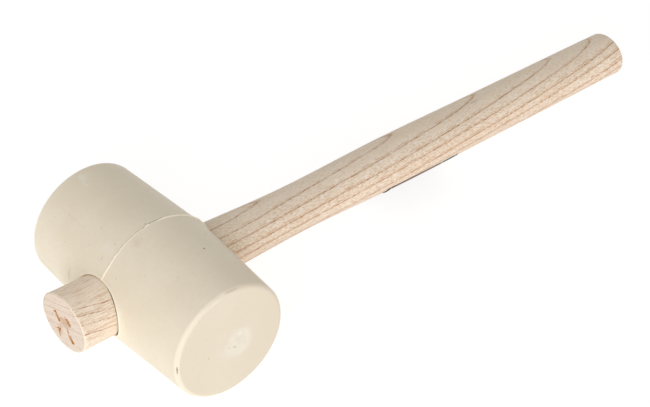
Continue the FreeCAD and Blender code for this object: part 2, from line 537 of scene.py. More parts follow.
def make_handle(material):
    """The ash handle, from its chamfered nose to its rounded grip end."""
    shell = Shell()
    turn = np.linspace(0, 2 * math.pi, HANDLE_SIDES, endpoint=False)
    nose_side = NOSE_Y + NOSE_CHAMFER
    grip_side = GRIP_Y - GRIP_ROUNDING
    nose_rim = handle_loop(turn, nose_side, NOSE_CHAMFER, NOSE_Y)
    loops = end_face(turn, -1, nose_rim)[::-1]
    loops.append(nose_rim)
    for share in CHAMFER_SHARES:
        loops.append(handle_loop(turn, nose_side, NOSE_CHAMFER * (1 - share), NOSE_Y + NOSE_CHAMFER * share))
    count = round((grip_side - nose_side) / HANDLE_STEP)
    for y in np.linspace(nose_side, grip_side, count):
        loops.append(handle_loop(turn, y, 0.0))
    for k in range(1, GRIP_LOOPS + 1):
        slant = math.pi / 2 * k / GRIP_LOOPS
        inset = GRIP_ROUNDING * (1 - math.cos(slant))
        loops.append(handle_loop(turn, grip_side, inset, grip_side + GRIP_ROUNDING * math.sin(slant)))
    loops += end_face(turn, 1, loops[-1])
    numbers = [shell.add(loop) for loop in loops]
    shell.bands(numbers)
    for numbered, loop in ((numbers[0], loops[0]), (numbers[-1], loops[-1])):
        shell.close(numbered, loop.mean(0))
    return shell.make("ash_handle", "wooden_handle", material)


# ---- label
LABEL_ROWS = 110
LABEL_COLUMNS = 60
LABEL_THICKNESS = 0.14
LABEL_CLEAR = 0.03
LABEL_LIFT = 0.3
LABEL_LIFT_REACH = 6.0


def make_label(material):
    """The film stuck under the handle, a closed thin sheet whose end nearest the head has begun to lift."""
    shell = Shell()
    sheets = []
    for outset in (LABEL_CLEAR, LABEL_CLEAR + LABEL_THICKNESS):
        rows = []
        for y in np.linspace(LABEL_START_Y, LABEL_END_Y, LABEL_ROWS):
            upper = math.asin(LABEL_EDGE_Z / HALF_HEIGHT(y))
            turn = np.linspace(upper, -math.pi - upper, LABEL_COLUMNS)
            lift = LABEL_LIFT * smooth((LABEL_START_Y + LABEL_LIFT_REACH - y) / LABEL_LIFT_REACH) ** 2
            curl = lift * smooth(np.cos(turn) * 0.5 + 0.7)
            rows.append(eye_oval(turn, np.full_like(turn, y), outset + curl))
        sheets.append(np.array(rows))
    numbers = []
    for sheet in sheets:
        numbers.append(shell.add(sheet.reshape(-1, 3)).reshape(LABEL_ROWS, LABEL_COLUMNS))
    for grid in numbers:
        for i in range(LABEL_ROWS - 1):
            quads = np.stack([grid[i, :-1], grid[i, 1:], grid[i + 1, 1:], grid[i + 1, :-1]], 1)
            shell.faces.extend(quads.tolist())
    edges = ((grid[0, :-1], grid[:-1, -1], grid[-1, :0:-1], grid[:0:-1, 0]) for grid in numbers)
    shell.band(*(np.concatenate(edge) for edge in edges))
    return shell.make("label_film_sheet", "handle_label", material)


# ---- materials
def colour(red, green, blue):
    """A display colour, each part from 0 to 255, as the linear colour that shaders take."""
    parts = [part / 255 for part in (red, green, blue)]
    return tuple(p / 12.92 if p <= 0.04045 else ((p + 0.055) / 1.055) ** 2.4 for p in parts) + (1.0,)


# Where the soft edge of a blot and of a speck begins and is full, as shares of its size.
BLOT_EDGE = (1.25, 0.45)
SPECK_EDGE = (1.3, 0.5)


class Paint:
    """One Principled material, and short ways to add nodes to it. Lengths in its nodes are millimetres."""

    def __init__(self, name):
        self.material = bpy.data.materials.new(name)
        self.material.use_nodes = True
        self.tree = self.material.node_tree
        self.shader = self.tree.nodes["Principled BSDF"]
        row_place = self.add("ShaderNodeTexCoord", output="Object")
        self.place = self.mapped(HEAD_CENTRE, (MM,) * 3, (-REST_ANGLE, 0, 0), row_place)
        split = self.node("ShaderNodeSeparateXYZ", {"Vector": self.place})
        self.x, self.y, self.z = split.outputs

    def node(self, kind, inputs=(), **settings):
        """Adds a node with its settings and inputs."""
        node = self.tree.nodes.new(kind)
        for name, value in settings.items():
            setattr(node, name, value)
        for key, value in dict(inputs).items():
            self.feed(node.inputs[key], value)
        return node

    def add(self, kind, inputs=(), output=0, **settings):
        """Adds a node and returns one of its outputs."""
        return self.node(kind, inputs, **settings).outputs[output]

    def feed(self, socket, value):
        """Sets an input to a value or links it."""
        if isinstance(value, bpy.types.NodeSocket):
            self.tree.links.new(value, socket)
        else:
            socket.default_value = value

    def mapped(self, centre, size, turn=(0, 0, 0), place=None):
        """A place measured from a centre, turned, and as a share of a size along each axis."""
        inputs = {"Vector": place or self.place, "Location": centre, "Rotation": turn, "Scale": size}
        return self.add("ShaderNodeMapping", inputs, vector_type="TEXTURE")

    def math(self, operation, *values):
        """A maths node on values or sockets."""
        return self.add("ShaderNodeMath", dict(enumerate(values)), operation=operation)

    def vector_math(self, operation, *values):
        """A maths node on vectors that gives a number."""
        inputs = dict(enumerate(values))
        return self.add("ShaderNodeVectorMath", inputs, output="Value", operation=operation)

    def times(self, first, *others):
        """Several values multiplied."""
        for other in others:
            first = self.math("MULTIPLY", first, other)
        return first

    def minus(self, first, second):
        """The first value less the second."""
        return self.math("SUBTRACT", first, second)

    def weigh(self, start, *parts):
        """A start value plus each part times its weight."""
        for part, weight in parts:
            start = self.math("MULTIPLY_ADD", part, weight, start)
        return start

    def most(self, *masks):
        """The strongest of several masks at each point."""
        strongest = masks[0]
        for mask in masks[1:]:
            strongest = self.math("MAXIMUM", strongest, mask)
        return strongest

    def step(self, value, low, high, least=0.0, most=1.0):
        """Least at low and most at high, with a smooth change between; low may lie above high."""
        inputs = {"Value": value, "From Min": low, "From Max": high, "To Min": least, "To Max": most}
        return self.add("ShaderNodeMapRange", inputs, interpolation_type="SMOOTHSTEP")

    def near(self, value, centre, outer, inner):
        """1 within inner of a centre and 0 beyond outer."""
        return self.step(self.math("ABSOLUTE", self.minus(value, centre)), outer, inner)

    def noise(self, size, detail=2.0, roughness=0.5, shift=0.0, place=None):
        """Noise from 0 to 1, with features of a size in millimetres, or a size along each axis."""
        size = size if isinstance(size, tuple) else (size,) * 3
        inputs = {"Vector": self.mapped((shift,) * 3, size, place=place), "Scale": 1.0}
        return self.add("ShaderNodeTexNoise", inputs | {"Detail": detail, "Roughness": roughness})

    def ragged(self, size, reach):
        """An uneven shift for the edges of marks, up to about half its reach either way."""
        return self.times(self.minus(self.noise(size, detail=3), 0.5), reach)

    def mix(self, factor, first, second):
        """One colour mixed over another."""
        inputs = {0: factor, 6: first, 7: second}
        return self.add("ShaderNodeMix", inputs, output=2, data_type="RGBA", blend_type="MIX")

    def layers(self, base, *layers):
        """Colours laid over a base one after another, each by its mask."""
        for mask, tone in layers:
            base = self.mix(mask, base, tone)
        return base

    def lookup(self, share, places, values):
        """A table: straight lines through the values, all from 0 to 1, at places from 0 to 1."""
        curve = self.node("ShaderNodeFloatCurve", {"Value": share})
        points = curve.mapping.curves[0].points
        points[0].location = (places[0], values[0])
        points[-1].location = (places[-1], values[-1])
        for place, value in zip(places[1:-1], values[1:-1]):
            points.new(place, value)
        for point in points:
            point.handle_type = "VECTOR"
        curve.mapping.update()
        return curve.outputs[0]

    def facing(self, direction):
        """How squarely the surface faces a direction of the mallet's frame, either way: 0 to 1."""
        normal = self.add("ShaderNodeTexCoord", output="Normal")
        return self.math("ABSOLUTE", self.vector_math("DOT_PRODUCT", normal, np.array(direction) @ AXES))

    def blot(self, centre, radii, turn, strength, ragged):
        """A mark with a soft ragged edge: its strength inside an ellipsoid and 0 outside."""
        away = self.vector_math("LENGTH", self.mapped(centre, radii, turn))
        return self.step(self.math("ADD", away, ragged), *BLOT_EDGE, most=strength)

    def speck(self, centre, radius, strength):
        """A small round mark: its strength inside a sphere and 0 outside."""
        away = self.vector_math("DISTANCE", self.place, centre)
        outer, inner = SPECK_EDGE
        return self.step(away, radius * outer, radius * inner, most=strength)

    def length(self, across, along):
        """The length of a line from its two parts."""
        squares = [self.times(part, part) for part in (across, along)]
        return self.math("SQRT", self.math("ADD", *squares))

    def cone_radius(self):
        """How far a point is from the head's axis, with the head's taper taken out."""
        return self.weigh(self.length(self.y, self.z), (self.math("ABSOLUTE", self.x), TAPER))

    def eye_share(self, y):
        """How far out a point is from the handle's axis, where 1 is the handle's surface at the place y."""
        across = self.math("DIVIDE", self.x, float(HALF_WIDTH(y)))
        return self.length(across, self.math("DIVIDE", self.z, float(HALF_HEIGHT(y))))

    def finish(self, base, roughness, height, bump_distance, **uniform):
        """Links the colour, roughness and bump, and sets what is the same all over."""
        self.feed(self.shader.inputs["Base Color"], base)
        self.feed(self.shader.inputs["Roughness"], roughness)
        bump = self.add("ShaderNodeBump", {"Height": height, "Distance": bump_distance * MM, "Strength": 1.0})
        self.feed(self.shader.inputs["Normal"], bump)
        for name, value in uniform.items():
            self.shader.inputs[name.replace("_", " ")].default_value = value
        return self.material


# Dark specks on the head's side: place along it, angle round it, radius and strength.
SIDE_SPECKS = [
    (25.7, 74.4, 0.5, 0.85),
    (7, 145.5, 0.33, 0.32),
    (37.5, 141, 0.3, 0.2),
    (-37, 131.6, 0.4, 0.2),
    (-26, 131.4, 0.35, 0.16),
    (-17, 122, 0.4, 0.2),
    (33, 112, 0.4, 0.2),
    (19.5, 128.5, 0.3, 0.22),
    (28, 83.5, 0.38, 0.2),
    (-44.5, 142, 0.4, 0.16),
    (-17, 139.5, 0.4, 0.16),
    (-31, 152, 0.4, 0.16),
    (38, 57, 0.45, 0.16),
    (14.4, 56.9, 0.4, 0.22),
    (41, 215, 0.45, 0.3),
    (-20, 305, 0.5, 0.4),
    (44, 20, 0.45, 0.35),
]

# Dark specks on the near striking face: place across it, height, radius and strength.
FACE_SPECKS = [
    (-12, -3, 0.4, 0.4),
    (-11, 13.8, 0.35, 0.15),
    (8.5, 12.5, 0.35, 0.15),
    (2, 18.7, 0.35, 0.12),
    (-24.4, 9.8, 0.35, 0.16),
    (-13.3, 8.6, 0.35, 0.16),
    (13.5, -12, 0.4, 0.15),
]

# Longer marks on the head's side: place along it, angle round it, half length along, half length round it
# and strength.
DARK_SIDE_MARKS = [
    (3.9, 113, 1.1, 0.5, 0.08),
    # painted shade beside the bump in the parting line
    (-1.7, 96.6, 0.4, 0.7, 0.35),
    (-5.8, 140.5, 0.45, 1.7, 0.14),
    (-4.2, 125, 0.9, 0.35, 0.14),
    (14.5, 56.5, 0.6, 1.3, 0.12),
    (-34, 131.8, 17, 0.16, 0.08),
    (54.6, 88, 0.4, 4.4, 0.2),
    (17, 265, 1.6, 0.5, 0.3),
    (-28, 335, 0.5, 0.8, 0.35),
]
PALE_SIDE_MARKS = [
    (-6, 131.5, 4.2, 3, 0.34),
    (9, 103, 0.7, 2.2, 0.4),
    (-45, 102.2, 2.6, 0.7, 0.6),
    (-49, 98.5, 3.2, 2, 0.6),
    (51, 118, 0.22, 11, 0.3),
    (54.3, 97.5, 0.8, 1.8, 0.5),
    # a painted highlight: the glint along the near rim's curve
    (55.2, 107, 0.35, 5, 0.6),
    (30, 300, 6, 0.8, 0.35),
    (-40, 250, 3, 1.4, 0.3),
]
TAN_SIDE_MARKS = [
    (-23.5, 176.5, 1, 5, 0.4),
    (4, 112, 3.4, 3, 0.16),
    (-45, 198, 12, 3, 0.2),
]

# Longer marks on the near striking face: place across it, height, half length, half width, turn, strength.
DARK_FACE_MARKS = [
    (2.7, -4.4, 1.6, 0.6, -38, 0.2),
    (-0.2, -3.5, 1.2, 0.4, -50, 0.16),
]
PALE_FACE_MARKS = [
    (5.6, 2, 1.7, 1, 10, 0.7),
    (1.5, 0.4, 1.9, 1, 30, 0.5),
    (2.2, -2, 1.4, 0.7, 30, 0.6),
    (-2, -6.4, 6, 2.2, -38, 0.25),
]

# The near gate mark's pale bloom: middle across the face, middle height and radius, and how its edge fades.
SEEN_FACE_DISC = (3.8, -2.4, 8.8)
BLOOM_OUTSIDE = 1.2
BLOOM_INSIDE = 2.4

# How far a mark reaches into the surface, how uneven marks' edges are, and the painted shade in the gash in
# the rim.
MARK_DEPTH = 1.5
RUBBER_RAGGED = (0.55, 1.3)
NICK_MARK_INSET = 0.2
NICK_MARK_RADII = (0.38, 0.38, 2.6)
NICK_MARK_STRENGTH = 0.75

# A painted highlight on the bump in the parting line: place along the head, angle round it, radius and
# strength.
SEAM_NUB = (-0.35, 96.2, 0.8, 0.95)
SEAM_PLACES = 121
SEAM_DEPTH = (3.0, 2.0)

# The eye's mouths, how far out the painted highlight on the lip lies, and how far into the mouth the painted
# shade begins and is full.
EYE_MOUTH_Y = 28.0
LIP_SHARE = 1.08
EYE_SHADE_SHARE = (1.10, 1.06)
EYE_SHADE_DEPTH = (0.3, 0.8)

RUBBER_CLOUDS = (colour(242, 231, 209), colour(239, 226, 203))
RUBBER_MOTTLE = colour(235, 221, 196)
# painted shade towards the grip's side
RUBBER_GRIP_SIDE_SHADE = colour(235, 221, 197)
RUBBER_FACE = colour(229, 215, 194)
RUBBER_TAN = colour(214, 188, 146)
# pale marks, with the painted highlight on the near rim among them
RUBBER_PALE_MARK = colour(248, 243, 232)
# painted highlight
RUBBER_HIGHLIGHT = colour(255, 245, 221)
# dark specks and marks, with painted shade in the parting groove and the gash
RUBBER_DARK = colour(112, 90, 58)
# painted shade down in the eye
RUBBER_GAP_SHADE = colour(70, 54, 42)


def side_place(x, angle):
    """The point of the head's side at a place along it and an angle round it, in degrees."""
    turn = math.radians(angle)
    radius = MIDDLE_RADIUS - TAPER * abs(x)
    return (x, radius * math.cos(turn), radius * math.sin(turn))


def side_marks(paint, marks, ragged):
    """Marks on the head's side, one mask each."""
    found = []
    for x, angle, along, around, strength in marks:
        radii = (along, MARK_DEPTH, around)
        found.append(paint.blot(side_place(x, angle), radii, (math.radians(angle), 0, 0), strength, ragged))
    return found


def face_marks(paint, marks, ragged):
    """Marks on the near striking face, one mask each."""
    found = []
    for y, z, length, width, angle, strength in marks:
        radii = (MARK_DEPTH, length, width)
        found.append(paint.blot((HALF_LENGTH, y, z), radii, (math.radians(angle), 0, 0), strength, ragged))
    return found


def specks(paint):
    """The round specks on the head's side and its near face, one mask each."""
    found = [paint.speck(side_place(x, angle), radius, share) for x, angle, radius, share in SIDE_SPECKS]
    return found + [paint.speck((HALF_LENGTH, y, z), radius, share) for y, z, radius, share in FACE_SPECKS]


def gash_shade(paint, ragged):
    """Painted shade down in the gash in the near rim."""
    turn = math.radians(NICK_ANGLE)
    rounding = RIM_ROUNDING - NICK_MARK_INSET
    radius = RIM_RADIUS + rounding * math.cos(NICK_SLANT)
    place = (RIM_X + rounding * math.sin(NICK_SLANT), radius * math.cos(turn), radius * math.sin(turn))
    return paint.blot(place, NICK_MARK_RADII, (turn, 0, 0), NICK_MARK_STRENGTH, ragged)


def gate_bloom(paint):
    """A pale patchy bloom over the near gate mark, clear only on its grip side and below."""
    disc_y, disc_z, radius = SEEN_FACE_DISC
    across = paint.minus(paint.y, disc_y)
    above = paint.minus(paint.z, disc_z)
    disc = paint.step(paint.length(across, above), radius + BLOOM_OUTSIDE, radius - BLOOM_INSIDE)
    on_face = paint.step(paint.x, HALF_LENGTH - 1.5, HALF_LENGTH - 1.0)
    patchy = paint.step(paint.noise(6.0, shift=9.0), 0.3, 0.6, 0.16, 0.38)
    return paint.times(disc, on_face, patchy, paint.step(paint.minus(across, above), -15.0, -1.0))


def parting_marks(paint, radius):
    """The parting line's painted light: a painted highlight on its ridge and painted shade in the groove
    beside it.
    """
    turn = paint.math("ARCTAN2", paint.z, paint.y)
    turn = paint.math("FRACT", paint.math("DIVIDE", turn, 2 * math.pi))
    places = np.linspace(0, 1, SEAM_PLACES)
    height, offset, half_width, dark = flash_at(places * 360.0)
    on_side = paint.step(radius, *(MIDDLE_RADIUS - depth for depth in SEAM_DEPTH))
    offset = paint.lookup(turn, places, offset / (2 * SEAM_HALF_WIDTH) + 0.5)
    from_ridge = paint.minus(paint.x, paint.times(paint.minus(offset, 0.5), 2 * SEAM_HALF_WIDTH))
    height = paint.lookup(turn, places, np.minimum(height / FLASH_PALE, 1.0))
    groove_offset = -float(GROOVE_SHARE * half_width.mean()) - GROOVE_OFFSET
    dark = paint.lookup(turn, places, dark)
    ridge = paint.times(paint.near(from_ridge, 0.15, 0.56, 0.28), height, on_side)
    return ridge, paint.times(paint.near(from_ridge, groove_offset, 0.36, 0.12), dark, on_side)


def eye_marks(paint):
    """The marks at the eye: painted shade down in it, and a painted highlight on the lip round its mouth at
    the nose.
    """
    at_grip = paint.step(paint.y, -1.0, 1.0)
    at_nose = paint.minus(1.0, at_grip)
    nose_share, grip_share = (paint.eye_share(side * EYE_MOUTH_Y) for side in (-1, 1))
    share = paint.weigh(paint.times(nose_share, at_nose), (grip_share, at_grip))
    depths = (MIDDLE_RADIUS - depth for depth in EYE_SHADE_DEPTH)
    gap_shade = paint.step(paint.cone_radius(), *depths, most=0.75)
    gap_shade = paint.times(gap_shade, paint.step(share, *EYE_SHADE_SHARE))
    lip = paint.near(share, LIP_SHARE, 0.042, 0.024)
    return gap_shade, paint.times(lip, at_nose, paint.step(paint.x, -4.0, 11.0, 0.3, 1.0))


def rubber_material():
    """Satin cream rubber: faint clouding, moulding specks, scuffs and a few handling marks, with painted
    highlights on its rims, lip and parting line and painted shade in its eye, groove and gash and towards the
    grip.
    """
    paint = Paint("cream_rubber")
    ragged = paint.ragged(*RUBBER_RAGGED)
    radius = paint.length(paint.y, paint.z)
    from_middle = paint.math("ABSOLUTE", paint.x)
    # A painted highlight on the parting line's ridge and painted shade in its groove.
    ridge, groove = parting_marks(paint, radius)
    # Painted shade down in the eye and a painted highlight on the lip at its mouth.
    gap_shade, lip = eye_marks(paint)

    # The rounded rims: smoother, and with a painted highlight that is stronger on the nose's side.
    rim = paint.step(from_middle, RIM_X - 0.4, RIM_X + 0.6)
    rim = paint.times(rim, paint.step(radius, RIM_RADIUS + 0.1, RIM_RADIUS + 0.9))
    rim_highlight = paint.times(rim, paint.step(paint.y, 6.0, -12.0, 0.06, 0.46))

    # Sparse dark specks from the mould, and fine scuffs that run round the head and along it.
    grit = paint.step(paint.noise(0.7, detail=1.0, shift=3.0), 0.765, 0.80, most=0.16)
    scuff_round = paint.step(paint.noise((0.5, 9.0, 9.0), shift=5.0), 0.70, 0.80, most=0.08)
    scuff_along = paint.step(paint.noise((9.0, 0.5, 0.5), shift=7.0), 0.69, 0.80, most=0.16)

    cloud = paint.noise(22.0, detail=3.0)
    mottle = paint.noise(2.2, detail=3.0, shift=4.0)
    face = paint.step(from_middle, HALF_LENGTH - 1.4, HALF_LENGTH - 0.6, most=0.5)
    # Pale scrapes on the side, with a painted highlight along the near rim among them.
    scrapes_and_glint = paint.most(*side_marks(paint, PALE_SIDE_MARKS, ragged))
    scrapes_and_glint = paint.times(scrapes_and_glint, paint.step(mottle, 0.44, 0.56, 0.25, 1.0))
    pale = paint.most(*face_marks(paint, PALE_FACE_MARKS, ragged), scrapes_and_glint, gate_bloom(paint), scuff_along)
    x, angle, size, strength = SEAM_NUB
    # Painted highlights on the parting line's ridge, the eye's lip, the rims and the bump in the parting
    # line.
    painted_highlight = paint.most(ridge, lip, rim_highlight, paint.speck(side_place(x, angle), size, strength))
    dark = side_marks(paint, DARK_SIDE_MARKS, ragged) + face_marks(paint, DARK_FACE_MARKS, ragged)
    # Dark specks, scuffs and marks, with painted shade in the parting line's groove and in the gash.
    dark = paint.most(*dark, *specks(paint), gash_shade(paint, ragged), grit, scuff_round, groove)
    base = paint.layers(
        paint.mix(paint.step(cloud, 0.3, 0.7), *RUBBER_CLOUDS),
        (paint.step(mottle, 0.35, 0.75, most=0.3), RUBBER_MOTTLE),
        # painted shade, darker towards the grip's side
        (paint.step(paint.y, -10.0, 38.0), RUBBER_GRIP_SIDE_SHADE),
        (face, RUBBER_FACE),
        (paint.most(*side_marks(paint, TAN_SIDE_MARKS, ragged)), RUBBER_TAN),
        # pale marks, with the painted highlight on the near rim among them
        (pale, RUBBER_PALE_MARK),
        # painted highlights
        (painted_highlight, RUBBER_HIGHLIGHT),
        # dark marks, partly painted shade
        (dark, RUBBER_DARK),
        # painted shade down in the eye
        (gap_shade, RUBBER_GAP_SHADE),
    )
    fine = paint.noise(0.45, detail=3.0, roughness=0.6)
    broad = paint.noise(2.6, detail=2.0, shift=6.0)
    height = paint.weigh(broad, (fine, 0.35), (dark, -0.5))
    roughness = paint.weigh(0.40, (mottle, 0.12), (pale, 0.15), (rim, -0.14))
    return paint.finish(base, roughness, height, 0.06, IOR=1.45)


# Growth rings: how they lean, where they lie across the grain, and how fast they run out along the handle.
RING_LEAN = math.radians(21.75)
ACROSS_RINGS = (-math.sin(RING_LEAN), 0.0, math.cos(RING_LEAN))
RING_PLACES = [-31.0, -27.5, -23.5, -20.0, -16.4, -10.9, -7.4, -2.8, 0.95, 5.35, 9.25, 12.7, 16.0, 20.5]
RING_RUN_OUT = (4.8, 1.8, -1.4, 0.67)
RING_RUN_LENGTH = 100.0
RING_SWAY = 0.7
RING_SHAKE = 0.5

# Where the nose's looks begin and are full, where its rings stand lower, and which of them are clear.
NOSE_PLACES = (-15.0, -25.0)
NOSE_SHIFT_LEVELS = (1.5, 4.0)
NOSE_RING_SHIFT = 1.4
NOSE_RINGS = (-9.5, 7.5)

# Stains that the lathe's drive centre left in the nose: place across, height, half length, half width, turn
# and strength.
DRIVE_STAINS = [
    (-5.1, 1, 2.8, 1, -49, 0.8),
    (-6.3, 2.5, 1.5, 1, 20, 1),
    (-3.7, -0.4, 1.4, 1.2, -40, 1),
    (0.6, 0.7, 4.6, 2.5, 20, 0.45),
    (3.3, 2.8, 2.5, 1.5, -36, 0.85),
    (4.4, 2, 1.4, 1.2, -36, 0.9),
    (3, -2.8, 2.2, 0.75, -58, 0.75),
    (5.3, -5.8, 2.6, 1.4, -42, 0.85),
    (6.5, -7, 1.4, 1.2, 0, 1),
    (-4, -6.5, 1.8, 1.5, 40, 1),
    (-3.5, -8, 1.9, 0.9, -80, 0.75),
    (-2.4, -5, 4, 1.6, -85, 0.22),
]
STAIN_DEPTH = 4.0
STAIN_INSET = 0.3
SMUDGE = (0.0, 196.0, 11.2)
SMUDGE_RADII = (1.0, 3.2, 1.5)
SMUDGE_STRENGTH = 0.2
WOOD_RAGGED = (0.8, 2.0)

# The wood's noises: size along each axis, detail, roughness and shift.
WOOD_NOISES = {
    "grain": ((0.5, 16.0, 0.5), 4.0, 0.6, 2.0),
    "pore": ((0.26, 3.2, 0.26), 2.0, 0.5, 8.0),
    "bead": ((0.5, 1.5, 0.5), 2.0, 0.7, 26.0),
    "fleck": ((0.40, 1.9, 0.40), 2.0, 0.7, 20.0),
    "patch": ((2.4, 7.0, 2.4), 3.0, 0.5, 12.0),
    "cloud": ((9.0, 45.0, 9.0), 2.0, 0.5, 15.0),
}
FIBRE_NOISE = ((7.0, 7.0, 0.45), 4.0, 0.65, 31.0)

WOOD_CLOUDS = (colour(251, 229, 205), colour(246, 221, 195))
WOOD_PATCH = colour(236, 209, 182)
WOOD_GRAIN = (colour(226, 196, 166), colour(254, 242, 228))
WOOD_LATE = (colour(226, 186, 146), colour(208, 160, 116))
# painted shadow of the head on the neck
WOOD_NECK_SHADOW = colour(208, 186, 156)
# painted shade on the underside
WOOD_UNDER_SHADE = colour(216, 192, 174)
# painted light on the upper side
WOOD_TOP_LIGHT = colour(236, 230, 212)
# paler at the nose: partly its own tone, partly painted light
WOOD_NOSE = colour(255, 238, 216)
WOOD_STREAK = colour(220, 184, 150)
WOOD_END = colour(233, 215, 198)
WOOD_FLECKS = (colour(208, 170, 134), colour(255, 247, 236))
WOOD_FIBRES = (colour(206, 174, 146), colour(250, 234, 220))
WOOD_LINE = colour(178, 122, 72)
WOOD_PORE = colour(158, 116, 84)
WOOD_STAIN = colour(188, 124, 56)
WOOD_SMUDGE = colour(146, 118, 90)
WOOD_CHAMFER_HIGHLIGHT = colour(255, 238, 214)
# painted shade at the head's mouth
WOOD_MOUTH_SHADE = colour(84, 62, 46)


def ring_level(paint, nose):
    """How far across the growth rings a point lies, with their run-out along the handle and their waves."""
    run = paint.math("DIVIDE", paint.minus(paint.y, RING_RUN_LENGTH), RING_RUN_LENGTH)
    drift = 0.0
    for factor in reversed(RING_RUN_OUT):
        drift = paint.times(paint.math("ADD", drift, factor), run)
    sway = paint.minus(paint.noise((12.0, 38.0, 12.0)), 0.5)
    shake = paint.minus(paint.noise((1.6, 6.0, 1.6), detail=3.0), 0.5)
    level = paint.minus(paint.vector_math("DOT_PRODUCT", paint.place, ACROSS_RINGS), drift)
    level = paint.weigh(level, (sway, RING_SWAY), (shake, RING_SHAKE))
    return paint.weigh(level, (paint.step(level, *NOSE_SHIFT_LEVELS, most=NOSE_RING_SHIFT), nose))


def ring_year(paint, level):
    """The place within one year's growth: 0 on a ring line, rising to 1 at the next one."""
    low, high = RING_PLACES[0], RING_PLACES[-1]
    years = len(RING_PLACES) - 1
    share = paint.math("DIVIDE", paint.minus(level, low), high - low)
    places = [(place - low) / (high - low) for place in RING_PLACES]
    count = paint.lookup(share, places, [number / years for number in range(years + 1)])
    return paint.math("FRACT", paint.times(count, float(years)))


def drive_stains(paint, ragged):
    """The stains at the drive centre's cuts, as one mask."""
    stains = []
    for x, z, length, width, angle, strength in DRIVE_STAINS:
        turn = (0, -math.radians(angle), 0)
        place = (x, NOSE_Y + STAIN_INSET, z)
        stains.append(paint.blot(place, (length, STAIN_DEPTH, width), turn, strength, ragged))
    return paint.most(*stains)


def chamfer_highlight(paint, end, nose):
    """A painted highlight along the nose's chamfer, clearer on its right."""
    slope = paint.times(paint.step(end, 0.42, 0.56), paint.step(end, 0.93, 0.82))
    outside = paint.step(paint.eye_share(NOSE_Y + NOSE_CHAMFER), 0.94, 0.965)
    return paint.times(slope, outside, nose, paint.step(paint.x, -10.0, 8.0, most=0.9))


def mouth_shade(paint, ragged, nose):
    """Painted shade where the handle goes into the head."""
    rise = paint.times(paint.step(paint.x, 2.0, 13.0, most=0.9), nose)
    depth = paint.weigh(paint.cone_radius(), (ragged, 0.4), (rise, -1.0))
    gap_shade = paint.step(depth, MIDDLE_RADIUS + 0.18, MIDDLE_RADIUS - 0.12)
    return paint.times(gap_shade, paint.step(paint.x, 0.0, 9.0, 0.3, 0.75))


